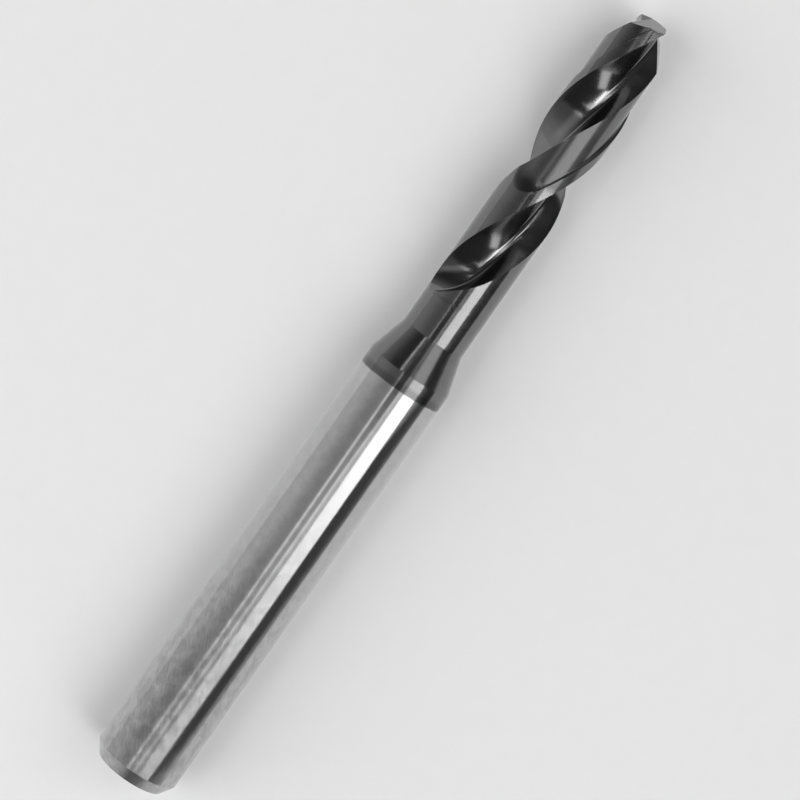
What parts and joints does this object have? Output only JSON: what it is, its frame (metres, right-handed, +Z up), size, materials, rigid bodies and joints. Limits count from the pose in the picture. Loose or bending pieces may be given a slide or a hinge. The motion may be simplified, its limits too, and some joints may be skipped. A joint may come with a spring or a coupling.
{
  "type": "micro drill bit",
  "caption": "Short solid carbide twist drill for metal, with spiral flutes, a dark hard-coated cutting end and a thicker bare cylindrical shank.",
  "frame": {"origin": "centre of the shank's flat end face, on which the drill stands", "axes": "+Z up along the drill's axis towards the point; -Y is the side seen in the picture, where the outer corner of one cutting lip lies 30 degrees to the right of -Y"},
  "size_m": [0.006, 0.006, 0.06],
  "materials": {
    "carbide": "bare ground carbide shank with a fine satin sheen; glossy dark grey hard coating from the top of the shank over the cone, flutes and point"
  },
  "bodies": {
    "root": {"drill": "carbide"}
  },
  "joints": []
}
